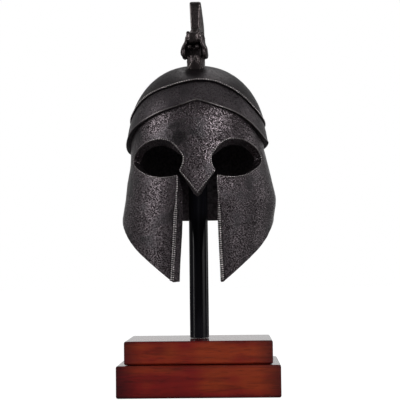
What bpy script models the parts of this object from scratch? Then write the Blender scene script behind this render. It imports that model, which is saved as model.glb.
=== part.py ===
"""A Greek helmet with a closed face, cast in dark bronze, on a black post and a two-step wooden base.

Metres, +Z up. The origin is the centre of the base's underside and the helmet looks along -Y.
The helmet is one surface, described by its half width, front reach and back reach at each height.
The face shell is that surface with a wall, and the band and the cap are plates laid over it.
"""
import math

import bmesh
import bpy
from mathutils import Vector

# Wooden base
LOWER_WIDTH = 0.1400
LOWER_DEPTH = 0.1100
LOWER_HEIGHT = 0.0275
UPPER_WIDTH = 0.1270
UPPER_DEPTH = 0.0970
UPPER_HEIGHT = 0.0200
BOARD_ROUND = 0.0016

# Post
POST_DIAMETER = 0.0170
TIP_CLEARANCE = 0.0502

# Helmet surface
HALF_WIDTH = 0.0672
FRONT_REACH = 0.0785
BACK_REACH = 0.0840
SIDE_HEIGHT = 0.1170
DOME_HEIGHT = 0.0720
SKIRT = 0.0080
PLAN_POWER = 2.2
DOME_POWER = 2.2
WALL = 0.0065
HELMET_TURN = 1.2

# Plates over the shell
SEAT_GAP = 0.0003
PLATE_GAP = 0.0004
BAND_STAND = 0.0017
BAND_FLARE = 0.0021
CAP_STAND = 0.0032
CAP_REVEAL = 0.0007

# Face opening
EYE_REACH = 0.0555
EYE_FLOOR = 0.0880
EYE_HEIGHT = 0.0330
SLOT_HALF = 0.0209
LID_BEVEL = 0.0055
LEFT_CHEEK_BEVEL = 0.0040
RIGHT_CHEEK_BEVEL = -0.0014

# Crest, its animal head and its leafed socket
CREST_THICKNESS = 0.0102
CREST_FRONT = 0.0270
CREST_TAIL = 0.1300
CREST_RISE = 0.0560
CREST_ROUND = 0.0022
HEAD_WIDTH = 0.0226
HEAD_HEIGHT = 0.0262
HEAD_DEPTH = 0.0270
SOCKET_SETBACK = 0.0290
SOCKET_DIAMETER = 0.0166
SOCKET_HEIGHT = 0.0084
LEAVES = 6
LEAF_RELIEF = 0.0006

TURNS = 60
SIDE_ROWS = 13
DOME_ROWS = 8

base_top = LOWER_HEIGHT + SEAT_GAP + UPPER_HEIGHT
tip_z = base_top + TIP_CLEARANCE
equator_z = tip_z + SIDE_HEIGHT

# height as a share of SIDE_HEIGHT above the cheek tips, half width to the left and to the right
# of HALF_WIDTH, front of FRONT_REACH, back of BACK_REACH
SIDES = [
    (-0.080, 0.945, 0.920, 0.945, 0.985),
    (0.000, 0.965, 0.940, 0.958, 1.000),
    (0.231, 1.000, 0.976, 0.984, 1.000),
    (0.470, 1.000, 1.000, 0.996, 0.960),
    (0.615, 0.960, 1.031, 1.000, 0.885),
    (0.744, 0.934, 0.987, 0.994, 0.855),
    (0.872, 0.894, 0.936, 0.981, 0.872),
    (1.000, 0.882, 0.882, 0.955, 0.893),
]

# turn from the front in degrees, height of the edge to the left and to the right as a share of
# DOME_HEIGHT above the widest level
CAP_EDGE = [
    (0, 0.739, 0.739), (11, 0.716, 0.734), (22, 0.684, 0.704), (41, 0.628, 0.595), (57, 0.560, 0.446),
    (65, 0.497, 0.385), (74, 0.430, 0.335), (90, 0.345, 0.290), (120, 0.262, 0.250), (150, 0.220, 0.218),
    (180, 0.205, 0.205),
]
BAND_EDGE = [
    (0, 0.497, 0.497), (15, 0.424, 0.428), (30, 0.367, 0.364), (41, 0.316, 0.298), (59, 0.230, 0.158),
    (69, 0.173, 0.092), (77, 0.120, 0.076), (90, 0.028, 0.068), (105, -0.012, 0.045), (135, -0.026, -0.005),
    (180, -0.030, -0.030),
]

# from the bridge of the nose over the upper lid, round the outer corner and back along the lower lid:
# distance from the middle as a share of EYE_REACH, height as a share of EYE_HEIGHT over the lower lid,
# and how much of LID_BEVEL the cut closes in by
EYE = [
    (0.267, 0.161, 0.10), (0.220, 0.309, 0.00), (0.205, 0.461, 0.00), (0.220, 0.564, 0.20),
    (0.270, 0.688, 0.50), (0.346, 0.848, 0.80), (0.450, 0.958, 1.00), (0.577, 1.000, 1.00),
    (0.721, 0.976, 1.00), (0.829, 0.900, 0.90), (0.915, 0.797, 0.70), (0.973, 0.661, 0.50),
    (1.000, 0.515, 0.35), (0.976, 0.378, 0.20), (0.924, 0.273, 0.05), (0.832, 0.150, 0.00),
    (0.739, 0.061, 0.00), (0.577, 0.000, 0.00), (0.420, 0.000, 0.00), (0.301, 0.030, 0.00),
]
NOSE_TIP = -0.400
NOSE_BEVEL = 0.28
# the slot between the cheeks: height from the lower lid (1) to the tips (0), then the distance of its
# left and of its right edge from the middle of SLOT_HALF
SLOT = [
    (0.860, 0.822, 0.822), (0.730, 0.830, 0.816), (0.600, 0.840, 0.804), (0.340, 0.904, 0.838),
    (0.070, 0.986, 0.893), (-0.200, 1.030, 0.930),
]
# lower edge of the cheeks and of the neck guard: turn from the front in degrees, height of SIDE_HEIGHT
# over the tips
LOWER_EDGE = [
    (0.0, 0.000), (15.0, 0.000), (17.2, 0.002), (18.8, 0.014), (28.1, 0.085), (38.3, 0.159), (49.0, 0.231),
    (60.0, 0.308), (70.9, 0.385), (81.5, 0.445), (91.7, 0.472), (106.0, 0.486), (131.0, 0.498), (180.0, 0.505),
]

# crest outline: distance behind the post of CREST_TAIL, height of CREST_RISE over the crown
CREST_TOP = [
    (-0.208, 0.700), (-0.206, 0.880), (-0.190, 0.960), (-0.150, 0.985), (0.000, 1.000), (0.380, 1.020),
    (0.700, 1.020), (0.840, 0.960), (0.935, 0.780), (0.985, 0.480), (1.000, 0.080), (0.985, -0.380),
    (0.930, -0.860), (0.860, -1.200),
]
CREST_UNDER = [(0.835, -1.160), (0.770, -1.000), (0.690, -0.850), (0.600, -0.690)]

# animal head, from the nape forward to the nose: distance ahead of the nape of HEAD_DEPTH,
# height of HEAD_HEIGHT over the socket, half width of HEAD_WIDTH, half depth of HEAD_HEIGHT
HEAD = [
    (0.10, 0.46, 0.20, 0.18), (0.16, 0.50, 0.27, 0.25), (0.26, 0.60, 0.33, 0.33), (0.40, 0.67, 0.35, 0.33),
    (0.56, 0.62, 0.31, 0.29), (0.72, 0.50, 0.24, 0.23), (0.86, 0.36, 0.20, 0.18), (0.96, 0.26, 0.14, 0.12),
]
# horn, from the brow back and round to the cheek: ahead of the nape, out from the middle of HEAD_WIDTH,
# height, and thickness of HEAD_WIDTH
HORN = [
    (0.66, 0.115, 0.86, 0.115), (0.50, 0.160, 0.92, 0.140), (0.33, 0.205, 0.89, 0.142), (0.21, 0.250, 0.76, 0.132),
    (0.17, 0.305, 0.57, 0.120), (0.22, 0.355, 0.38, 0.110), (0.36, 0.385, 0.262, 0.100), (0.50, 0.400, 0.280, 0.085),
    (0.58, 0.405, 0.38, 0.060),
]


def table(rows, column, where):
    """Reads one column of a table at any place between its rows, along a smooth curve."""
    for k in range(len(rows) - 2):
        if where < rows[k + 1][0]:
            break
    else:
        k = len(rows) - 2
    left, right = rows[k], rows[k + 1]
    span = right[0] - left[0]
    before = rows[max(k - 1, 0)]
    after = rows[min(k + 2, len(rows) - 1)]
    enter = (right[column] - before[column]) / (right[0] - before[0])
    leave = (after[column] - left[column]) / (after[0] - left[0])
    s = min(max((where - left[0]) / span, 0.0), 1.0)
    return (
        left[column] * (1 + 2 * s) * (1 - s) ** 2
        + right[column] * s * s * (3 - 2 * s)
        + enter * span * s * (1 - s) ** 2
        - leave * span * s * s * (1 - s)
    )


def smooth(points, steps):
    """Returns a curve through the points, with a few steps between each pair."""
    out = []
    count = len(points)
    for k in range(count - 1):
        p0 = points[max(k - 1, 0)]
        p1, p2 = points[k], points[k + 1]
        p3 = points[min(k + 2, count - 1)]
        for j in range(steps):
            s = j / steps
            out.append(tuple(
                0.5 * (2 * b + (c - a) * s + (2 * a - 5 * b + 4 * c - d) * s * s + (3 * b - a - 3 * c + d) * s ** 3)
                for a, b, c, d in zip(p0, p1, p2, p3)
            ))
    out.append(tuple(points[-1]))
    return out


def reaches(rise, side=1):
    """Returns height, half width to one side, front and back reach; rise is 0 to 1 up the side, then to 2 up the dome."""
    across = 2 if side > 0 else 1
    if rise <= 1:
        return (
            tip_z + SIDE_HEIGHT * rise,
            HALF_WIDTH * table(SIDES, across, rise),
            FRONT_REACH * table(SIDES, 3, rise),
            BACK_REACH * table(SIDES, 4, rise),
        )
    lift = math.sin(min(rise - 1, 1.0) * math.pi / 2) ** (2 / DOME_POWER)
    draw = max(math.cos(min(rise - 1, 1.0) * math.pi / 2), 0.0) ** (2 / DOME_POWER)
    top = SIDES[-1]
    return (
        equator_z + DOME_HEIGHT * lift,
        HALF_WIDTH * top[across] * draw,
        FRONT_REACH * top[3] * draw,
        BACK_REACH * top[4] * draw,
    )


def rise_at(z):
    if z <= equator_z:
        return (z - tip_z) / SIDE_HEIGHT
    share = min((z - equator_z) / DOME_HEIGHT, 1.0)
    return 1 + math.asin(share ** (DOME_POWER / 2)) * 2 / math.pi


def surface(turn, rise):
    """Point of the helmet's outer surface; turn is the angle from the front, positive to the right."""
    s, c = math.sin(turn), math.cos(turn)
    z, half, front, back = reaches(rise, s)
    x = half * math.copysign(abs(s) ** (2 / PLAN_POWER), s)
    y = -(front if c > 0 else back) * math.copysign(abs(c) ** (2 / PLAN_POWER), c)
    return Vector((x, y, z))


def raised(turn, rise, stand):
    """Point that stands off the outer surface by the given distance along its normal."""
    if rise > 1.999:
        return surface(turn, 2) + Vector((0, 0, stand))
    step = 0.01
    across = surface(turn + step, rise) - surface(turn - step, rise)
    up = surface(turn, min(rise + step, 1.9999)) - surface(turn, rise - step)
    normal = across.cross(up).normalized()
    return surface(turn, rise) + normal * stand


def crown_z(x, y, stand):
    """Height of a skin that stands off the dome, at a place seen from above."""
    reach = FRONT_REACH * SIDES[-1][3] if y < 0 else BACK_REACH * SIDES[-1][4]
    across = (abs(x) / (HALF_WIDTH * SIDES[-1][1] + stand)) ** PLAN_POWER
    along = (abs(y) / (reach + stand)) ** PLAN_POWER
    radius = min((across + along) ** (1 / PLAN_POWER), 1.0)
    return equator_z + (DOME_HEIGHT + stand) * (1 - radius ** DOME_POWER) ** (1 / DOME_POWER)


for old in list(bpy.data.objects):
    bpy.data.objects.remove(old, do_unlink=True)

helmet_parts = bpy.data.collections.new("greek_helmet")
cutters = bpy.data.collections.new("cutters")
bpy.context.scene.collection.children.link(helmet_parts)
bpy.context.scene.collection.children.link(cutters)


def material(name, colour, roughness, metallic):
    made = bpy.data.materials.new(name)
    made.use_nodes = True
    shader = made.node_tree.nodes["Principled BSDF"]
    shader.inputs["Base Color"].default_value = (*colour, 1)
    shader.inputs["Roughness"].default_value = roughness
    shader.inputs["Metallic"].default_value = metallic
    return made


def add(name, bm, finish=None):
    """Puts a finished mesh in the scene: with a finish it is a part, without one a cutter."""
    bmesh.ops.remove_doubles(bm, verts=bm.verts, dist=1e-7)
    mesh = bpy.data.meshes.new(name)
    bm.to_mesh(mesh)
    bm.free()
    made = bpy.data.objects.new(name, mesh)
    if finish:
        helmet_parts.objects.link(made)
        mesh.materials.append(material(name + "_finish", *finish))
        mesh.shade_smooth()
        mesh.set_sharp_from_angle(angle=math.radians(35))
    else:
        cutters.objects.link(made)
        made.hide_render = True
        made.display_type = "WIRE"
    return made


def loft(rings, wrap, caps=True):
    """Joins rings of equally many points; wrap also joins the last ring to the first."""
    bm = bmesh.new()
    rows = [[bm.verts.new(p) for p in ring] for ring in rings]
    count = len(rows[0])
    pairs = list(zip(rows, rows[1:])) + ([(rows[-1], rows[0])] if wrap else [])
    for low, high in pairs:
        for k in range(count):
            n = (k + 1) % count
            bm.faces.new((low[k], low[n], high[n], high[k]))
    if caps and not wrap:
        bm.faces.new(list(reversed(rows[0])))
        bm.faces.new(rows[-1])
    bmesh.ops.remove_doubles(bm, verts=bm.verts, dist=1e-7)
    bmesh.ops.triangulate(bm, faces=[f for f in bm.faces if len(f.verts) > 4])
    if caps or wrap:
        bmesh.ops.recalc_face_normals(bm, faces=bm.faces)
    return bm


def prism(outline, low, high):
    """Solid between two planes of constant X, from an outline of (y, z) points."""
    return loft([[(x, y, z) for y, z in outline] for x in (low, high)], wrap=False)


def combine(target, tool, operation):
    mod = target.modifiers.new(operation.lower() + "_" + tool.name, "BOOLEAN")
    mod.object = tool
    mod.operation = operation
    mod.solver = "EXACT"


def board(name, width, depth, height, z, finish):
    """One board of the base, its edges rounded."""
    bm = bmesh.new()
    bmesh.ops.create_cube(bm, size=1)
    for v in bm.verts:
        v.co = (v.co.x * width, v.co.y * depth, v.co.z * height)
    made = add(name, bm, finish)
    made.location.z = z + height / 2
    mod = made.modifiers.new("rounded", "BEVEL")
    mod.width = min(BOARD_ROUND, height / 3)
    mod.segments = 3
    return made


WOOD = ((0.150, 0.030, 0.012), 0.22, 0.0)
BRONZE = ((0.055, 0.046, 0.044), 0.42, 0.9)

board("base_lower", LOWER_WIDTH, LOWER_DEPTH, LOWER_HEIGHT, 0, WOOD)
board("base_upper", UPPER_WIDTH, UPPER_DEPTH, UPPER_HEIGHT, LOWER_HEIGHT + SEAT_GAP, WOOD)

# The post stands on the base and reaches up to the inside of the crown.
post_foot = base_top + SEAT_GAP
inner_crown = crown_z(POST_DIAMETER / 2, 0, -WALL)
post_length = inner_crown - SEAT_GAP - post_foot
bm = bmesh.new()
bmesh.ops.create_cone(
    bm, cap_ends=True, segments=32, radius1=POST_DIAMETER / 2, radius2=POST_DIAMETER / 2, depth=post_length
)
post = add("post", bm, ((0.008, 0.008, 0.009), 0.15, 0.0))
post.location.z = post_foot + post_length / 2

# The face shell: the outer surface as an open skin, with its wall turned inwards.
turns = [2 * math.pi * k / TURNS for k in range(TURNS)]
low_rise = -SKIRT / SIDE_HEIGHT
rises = [low_rise + (1 - low_rise) * k / SIDE_ROWS for k in range(SIDE_ROWS)]
rises += [1 + k / DOME_ROWS for k in range(DOME_ROWS + 1)]
bm = loft([[surface(turn, rise) for turn in turns] for rise in rises], wrap=False, caps=False)
bmesh.ops.recalc_face_normals(bm, faces=bm.faces)
face_shell = add("face_shell", bm, BRONZE)
mod = face_shell.modifiers.new("wall", "SOLIDIFY")
mod.thickness = WALL
mod.offset = -1


def eye_point(row):
    share_x, share_z, bevel = row
    return (EYE_REACH * share_x, tip_z + EYE_FLOOR + EYE_HEIGHT * share_z, LID_BEVEL * bevel)


def half_opening(side, cheek_bevel):
    """Half of the face opening as (distance, z, bevel), from the nose's tip round to the foot of the slot."""
    corner = eye_point(EYE[0])
    nose = (0.0, tip_z + EYE_FLOOR + EYE_HEIGHT * NOSE_TIP, LID_BEVEL * NOSE_BEVEL)
    ridge = [
        tuple(a + (b - a) * k / 5 for a, b in zip(nose, (corner[0], corner[1], LID_BEVEL * NOSE_BEVEL)))
        for k in range(5)
    ]
    lids = smooth([eye_point(row) for row in EYE], 2)
    edge = 2 if side > 0 else 1
    slot = [(SLOT_HALF * row[edge], tip_z + EYE_FLOOR * row[0], cheek_bevel) for row in SLOT]
    return ridge + lids + slot


def inner_point(here, before, after, side):
    """Inner edge of the cut: through the wall along its normal, and in from the edge by the bevel."""
    x, z, bevel = here
    across = Vector((after[0] - before[0], after[1] - before[1])).normalized()
    rise = rise_at(z)
    turn = math.asin(min(x / reaches(rise, side)[1], 1.0) ** (PLAN_POWER / 2)) * side
    outer = surface(turn, rise)
    inner = raised(turn, rise, -WALL) + Vector((across.y * side, 0, -across.x)) * bevel
    return outer, inner


opening = []
for side, cheek_bevel in ((1, RIGHT_CHEEK_BEVEL), (-1, LEFT_CHEEK_BEVEL)):
    path = half_opening(side, cheek_bevel)
    mirrored = [(-path[1][0], path[1][1], path[1][2])]
    ahead = path[1:] + [(path[-1][0], path[-1][1] - SKIRT, path[-1][2])]
    half = [inner_point(p, b, a, side) for p, b, a in zip(path, mirrored + path, ahead)]
    opening += half if side > 0 else list(reversed(half[1:]))

far_front = -FRONT_REACH * 1.4
far_back = -FRONT_REACH * 0.25
rings = [[], [], [], []]
for outer, inner in opening:
    ahead = outer + (outer - inner) * 0.3
    behind = outer + (inner - outer) * 1.2
    rings[0].append(Vector((ahead.x, far_front, ahead.z)))
    rings[1].append(ahead)
    rings[2].append(behind)
    rings[3].append(Vector((behind.x, max(far_back, behind.y + WALL), behind.z)))
face_cutter = add("face_cutter", loft(rings, wrap=False))

# The lower edge is cut square to the wall all round, from cheek tip to neck guard.
edge = [row[0] for row in smooth(LOWER_EDGE, 3)]
rings = []
for degrees in edge[:-1] + [-d for d in reversed(edge[1:])]:
    turn = math.radians(degrees)
    rise = table(LOWER_EDGE, 1, abs(degrees))
    corners = ((rise, WALL), (rise, -WALL * 2), (-0.2, -WALL * 2), (-0.2, WALL))
    rings.append([raised(turn, level, stand) for level, stand in corners])
edge_cutter = add("edge_cutter", loft(rings, wrap=True))

combine(face_shell, face_cutter, "DIFFERENCE")
combine(face_shell, edge_cutter, "DIFFERENCE")

# The helmet sits on its post turned a little to one side; its pieces and their cutters share this pivot.
pivot = bpy.data.objects.new("helmet", None)
helmet_parts.objects.link(pivot)
pivot.rotation_euler.z = math.radians(HELMET_TURN)
face_shell.parent = face_cutter.parent = edge_cutter.parent = pivot


def edge_rise(rows, turn):
    """Rise of a plate's edge; the turn is measured from the front, positive to the right."""
    degrees = (math.degrees(turn) + 180) % 360 - 180
    return rise_at(equator_z + DOME_HEIGHT * table(rows, 2 if degrees > 0 else 1, abs(degrees)))


def band_stand(turn, share):
    """How far the band's face stands off the shell: more at the sides, and most at its lower edge."""
    side = min(abs(math.sin(turn / 2)) * 1.5, 1.0) ** 2
    return BAND_STAND + BAND_FLARE * side * (1 - 0.65 * share)


band_rows = 5
sections = []
for turn in turns:
    low = edge_rise(BAND_EDGE, turn)
    high = edge_rise(CAP_EDGE, turn) - CAP_REVEAL / DOME_HEIGHT * 0.8
    steps = [low + (high - low) * k / band_rows for k in range(band_rows + 1)]
    inside = [raised(turn, rise, PLATE_GAP) for rise in steps]
    outside = [raised(turn, rise, band_stand(turn, k / band_rows)) for k, rise in enumerate(steps)]
    sections.append(inside + list(reversed(outside)))
add("brow_band", loft(sections, wrap=True), BRONZE).parent = pivot

cap_rows = 7
sections = []
for turn in turns:
    low = edge_rise(CAP_EDGE, turn)
    steps = [low + (2 - low) * k / cap_rows for k in range(cap_rows + 1)]
    inside = [raised(turn, rise, PLATE_GAP) for rise in steps]
    outside = [raised(turn, rise, CAP_STAND) for rise in steps]
    sections.append(inside + list(reversed(outside)))
add("skull_cap", loft(sections, wrap=True), BRONZE).parent = pivot

# The socket stands on the cap: a round cup whose foot follows the dome, with pointed leaves raised on it.
leaf_steps = 6
socket_sides = LEAVES * leaf_steps
socket_y = -SOCKET_SETBACK
seat_z = crown_z(0, socket_y, CAP_STAND + SEAT_GAP)
rim_z = seat_z + SOCKET_HEIGHT


def socket_ring(level):
    ring = []
    for k in range(socket_sides):
        angle = 2 * math.pi * k / socket_sides - math.pi / 2
        leaf = 1 - abs((k + leaf_steps / 2) % leaf_steps - leaf_steps / 2) / (leaf_steps / 2)
        relief = LEAF_RELIEF if level < 0.25 + 0.65 * leaf else 0.0
        radius = (SOCKET_DIAMETER / 2 - LEAF_RELIEF) * (0.88 + 0.12 * level) + relief
        x, y = radius * math.cos(angle), socket_y + radius * math.sin(angle)
        foot = crown_z(x, y, CAP_STAND + SEAT_GAP)
        ring.append((x, y, foot + (rim_z - foot) * level))
    return ring


rings = [socket_ring(k / 8) for k in range(9)]
deck = seat_z + SOCKET_HEIGHT * 0.5
for inset in (0.84, 0.30):
    rings.append([(x * inset, socket_y + (y - socket_y) * inset, deck) for x, y, z in rings[8]])
add("crest_socket", loft(rings, wrap=False), BRONZE)


def tube(stations, sides):
    """Loft along a bent centre line; each station is a centre, a half width and a half height."""
    rings = []
    for k, (centre, wide, tall) in enumerate(stations):
        before = stations[max(k - 1, 0)][0]
        after = stations[min(k + 1, len(stations) - 1)][0]
        along = (after - before).normalized()
        out = Vector((1, 0, 0))
        out = (out - along * out.dot(along)).normalized()
        up = out.cross(along)
        ring = []
        for j in range(sides):
            angle = 2 * math.pi * j / sides
            ring.append(centre + out * wide * math.cos(angle) + up * tall * math.sin(angle))
        rings.append(ring)
    return loft(rings, wrap=False)


# The animal head rests in the socket, its horns curling round to its cheeks.
head_foot = deck + SEAT_GAP
nape_y = socket_y + HEAD_DEPTH * 0.38


def head_place(ahead, out, up):
    return Vector((HEAD_WIDTH * out, nape_y - HEAD_DEPTH * ahead, head_foot + HEAD_HEIGHT * up))


stations = [
    (head_place(ahead, 0, up), HEAD_WIDTH * wide, HEAD_HEIGHT * tall) for ahead, up, wide, tall in smooth(HEAD, 2)
]
ram_head = add("ram_head", tube(stations, 20), BRONZE)
neck_radius = SOCKET_DIAMETER * 0.34
bm = bmesh.new()
bmesh.ops.create_cone(
    bm, cap_ends=True, segments=20, radius1=neck_radius, radius2=neck_radius * 0.9, depth=HEAD_HEIGHT * 0.55
)
bmesh.ops.translate(bm, verts=bm.verts, vec=(0, socket_y, head_foot + HEAD_HEIGHT * 0.275))
combine(ram_head, add("neck", bm), "UNION")
for side, name in ((1, "horn_right"), (-1, "horn_left")):
    stations = []
    for ahead, out, up, thick in smooth(HORN, 2):
        stations.append((head_place(ahead, out * side, up), HEAD_WIDTH * thick, HEAD_WIDTH * thick))
    combine(ram_head, add(name, tube(stations, 10)), "UNION")

# The crest: one outline seen from the side, its foot following the cap, stepped to clear the head.
crown = crown_z(0, 0, CAP_STAND)
head_back = nape_y + HEAD_DEPTH * 0.17
head_top = head_foot + HEAD_HEIGHT * 1.10
top = [(CREST_TAIL * y, crown + CREST_RISE * z) for y, z in smooth(CREST_TOP, 3)]
under = [(CREST_TAIL * y, crown + CREST_RISE * z) for y, z in smooth(CREST_UNDER, 3)]
leave = BACK_REACH * 0.78
foot = []
foot_steps = 16
for k in range(foot_steps + 1):
    y = leave + (head_back - leave) * k / foot_steps
    foot.append((y, crown_z(0, y, CAP_STAND + SEAT_GAP)))
step_up = [(head_back, head_top + SEAT_GAP), (-CREST_FRONT, head_top + SEAT_GAP)]
crest = add("crest", prism(top[1:] + under + foot + step_up, -CREST_THICKNESS / 2, CREST_THICKNESS / 2), BRONZE)
mod = crest.modifiers.new("rounded", "BEVEL")
mod.width = min(CREST_ROUND, CREST_THICKNESS / 3)
mod.segments = 2
mod.limit_method = "ANGLE"
mod.angle_limit = math.radians(60)
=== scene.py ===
"""Looks of the Greek helmet on its stand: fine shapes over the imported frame, materials, light and camera."""
import math

import bmesh
import bpy
from mathutils import Matrix, Vector, kdtree, noise


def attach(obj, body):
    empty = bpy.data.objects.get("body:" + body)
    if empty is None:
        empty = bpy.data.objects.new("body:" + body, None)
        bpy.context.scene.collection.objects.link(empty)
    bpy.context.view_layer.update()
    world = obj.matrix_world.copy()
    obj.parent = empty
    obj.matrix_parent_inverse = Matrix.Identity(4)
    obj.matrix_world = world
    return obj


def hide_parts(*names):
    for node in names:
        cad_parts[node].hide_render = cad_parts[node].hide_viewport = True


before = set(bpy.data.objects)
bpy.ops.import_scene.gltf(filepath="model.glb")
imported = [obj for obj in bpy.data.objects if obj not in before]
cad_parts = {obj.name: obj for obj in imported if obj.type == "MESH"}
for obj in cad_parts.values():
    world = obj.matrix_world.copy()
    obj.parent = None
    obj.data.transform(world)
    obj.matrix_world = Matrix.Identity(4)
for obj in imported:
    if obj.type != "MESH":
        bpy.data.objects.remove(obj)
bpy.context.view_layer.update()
scene = bpy.context.scene

# Sizes of the frame's pieces, in metres; POWER is the squareness of the helmet's plan
SEAT_GAP = 0.0003
TIP_Z = 0.0980
SIDE_HEIGHT = 0.1170
EQUATOR_Z = TIP_Z + SIDE_HEIGHT
DOME_HEIGHT = 0.0720
HALF_WIDTH = 0.0672
FRONT_REACH = 0.0785
BACK_REACH = 0.0840
SKIRT = 0.0080
POWER = 2.2
WALL = 0.0065
TURN = Matrix.Rotation(math.radians(1.2), 4, "Z")
PLATE_GAP = 0.0004
BAND_STAND = 0.0017
BAND_FLARE = 0.0021
CAP_STAND = 0.0032
EYE_REACH = 0.0555
EYE_FLOOR = 0.0880
EYE_HEIGHT = 0.0330
SLOT_HALF = 0.0209
LID_BEVEL = 0.0055
LEFT_CHEEK_BEVEL = 0.0040
RIGHT_CHEEK_BEVEL = -0.0014
CREST_THICKNESS = 0.0102
CREST_FRONT = 0.0270
CREST_TAIL = 0.1300
CREST_RISE = 0.0560
HEAD_HEIGHT = 0.0262
HEAD_DEPTH = 0.0270
SOCKET_SETBACK = 0.0290
SOCKET_DIAMETER = 0.0166
SOCKET_HEIGHT = 0.0084

# height over the cheek tips, half width left and right, front and back reach, all as shares
SIDES = [
    (-0.080, 0.945, 0.920, 0.945, 0.985),
    (0.000, 0.965, 0.940, 0.958, 1.000),
    (0.231, 1.000, 0.976, 0.984, 1.000),
    (0.470, 1.000, 1.000, 0.996, 0.960),
    (0.615, 0.960, 1.031, 1.000, 0.885),
    (0.744, 0.934, 0.987, 0.994, 0.855),
    (0.872, 0.894, 0.936, 0.981, 0.872),
    (1.000, 0.882, 0.882, 0.955, 0.893),
]
# turn from the front in degrees, height of the edge to the left and to the right as a share of the dome
CAP_EDGE = [
    (0, 0.739, 0.739), (11, 0.716, 0.734), (22, 0.684, 0.704), (41, 0.628, 0.595), (57, 0.560, 0.446),
    (65, 0.497, 0.385), (74, 0.430, 0.335), (90, 0.345, 0.290), (120, 0.262, 0.250), (150, 0.220, 0.218),
    (180, 0.205, 0.205),
]
BAND_EDGE = [
    (0, 0.497, 0.497), (15, 0.424, 0.428), (30, 0.367, 0.364), (41, 0.316, 0.298), (59, 0.230, 0.158),
    (69, 0.173, 0.092), (77, 0.120, 0.076), (90, 0.028, 0.068), (105, -0.012, 0.045), (135, -0.026, -0.005),
    (180, -0.030, -0.030),
]
# distance from the middle, height over the lower lid, and how much the cut closes in by
EYE = [
    (0.267, 0.161, 0.10), (0.220, 0.309, 0.00), (0.205, 0.461, 0.00), (0.220, 0.564, 0.20),
    (0.270, 0.688, 0.50), (0.346, 0.848, 0.80), (0.450, 0.958, 1.00), (0.577, 1.000, 1.00),
    (0.721, 0.976, 1.00), (0.829, 0.900, 0.90), (0.915, 0.797, 0.70), (0.973, 0.661, 0.50),
    (1.000, 0.515, 0.35), (0.976, 0.378, 0.20), (0.924, 0.273, 0.05), (0.832, 0.150, 0.00),
    (0.739, 0.061, 0.00), (0.577, 0.000, 0.00), (0.420, 0.000, 0.00), (0.301, 0.030, 0.00),
]
NOSE_TIP = -0.400
NOSE_BEVEL = 0.28
# height over the tips, distance of the slot's left and of its right edge from the middle
SLOT = [
    (0.860, 0.822, 0.822), (0.730, 0.830, 0.816), (0.600, 0.840, 0.804), (0.340, 0.904, 0.838),
    (0.070, 0.986, 0.893), (-0.200, 1.030, 0.930),
]
# turn from the front in degrees, height over the tips
LOWER_EDGE = [
    (0.0, 0.000), (15.0, 0.000), (17.2, 0.002), (18.8, 0.014), (28.1, 0.085), (38.3, 0.159), (49.0, 0.231),
    (60.0, 0.308), (70.9, 0.385), (81.5, 0.445), (91.7, 0.472),
    (106.0, 0.486), (131.0, 0.498), (180.0, 0.505),
]
# crest outline: distance behind the post, height over the crown
CREST_TOP = [
    (-0.208, 0.700), (-0.206, 0.880), (-0.190, 0.960), (-0.150, 0.985), (0.000, 1.000), (0.380, 1.020),
    (0.700, 1.020), (0.840, 0.960), (0.935, 0.780), (0.985, 0.480), (1.000, 0.080), (0.985, -0.380),
    (0.930, -0.860), (0.860, -1.200),
]
CREST_UNDER = [(0.835, -1.160), (0.770, -1.000), (0.690, -0.850), (0.600, -0.690)]


def table(rows, column, where):
    """Reads one column of a table at any place between its rows, along a smooth curve."""
    for k in range(len(rows) - 2):
        if where < rows[k + 1][0]:
            break
    else:
        k = len(rows) - 2
    left, right = rows[k], rows[k + 1]
    span = right[0] - left[0]
    before = rows[max(k - 1, 0)]
    after = rows[min(k + 2, len(rows) - 1)]
    enter = (right[column] - before[column]) / (right[0] - before[0])
    leave = (after[column] - left[column]) / (after[0] - left[0])
    s = min(max((where - left[0]) / span, 0.0), 1.0)
    return (
        left[column] * (1 + 2 * s) * (1 - s) ** 2
        + right[column] * s * s * (3 - 2 * s)
        + enter * span * s * (1 - s) ** 2
        - leave * span * s * s * (1 - s)
    )


def smooth(points, steps):
    """Returns a curve through the points, with a few steps between each pair."""
    out = []
    count = len(points)
    for k in range(count - 1):
        p0 = points[max(k - 1, 0)]
        p1, p2 = points[k], points[k + 1]
        p3 = points[min(k + 2, count - 1)]
        for j in range(steps):
            s = j / steps
            out.append(tuple(
                0.5 * (
                    2 * b + (c - a) * s + (2 * a - 5 * b + 4 * c - d) * s * s
                    + (3 * b - a - 3 * c + d) * s ** 3
                )
                for a, b, c, d in zip(p0, p1, p2, p3)
            ))
    out.append(tuple(points[-1]))
    return out


def even(points, pitch):
    """Places along a polyline at an even pitch, as (point, direction)."""
    out = []
    carry = 0.0
    for a, b in zip(points, points[1:]):
        step = b - a
        length = step.length
        if length < 1e-9:
            continue
        along = step / length
        at = carry
        while at < length:
            out.append((a + along * at, along))
            at += pitch
        carry = at - length
    return out


def reaches(rise, side):
    """Height, half width, front and back reach of the outer surface.

    The rise is 0 at the cheek tips, 1 at the foot of the dome and 2 at its top.
    """
    across = 2 if side > 0 else 1
    if rise <= 1:
        return (
            TIP_Z + SIDE_HEIGHT * rise,
            HALF_WIDTH * table(SIDES, across, rise),
            FRONT_REACH * table(SIDES, 3, rise),
            BACK_REACH * table(SIDES, 4, rise),
        )
    lift = math.sin(min(rise - 1, 1.0) * math.pi / 2) ** (2 / POWER)
    draw = max(math.cos(min(rise - 1, 1.0) * math.pi / 2), 0.0) ** (2 / POWER)
    top = SIDES[-1]
    return (
        EQUATOR_Z + DOME_HEIGHT * lift,
        HALF_WIDTH * top[across] * draw,
        FRONT_REACH * top[3] * draw,
        BACK_REACH * top[4] * draw,
    )


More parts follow.
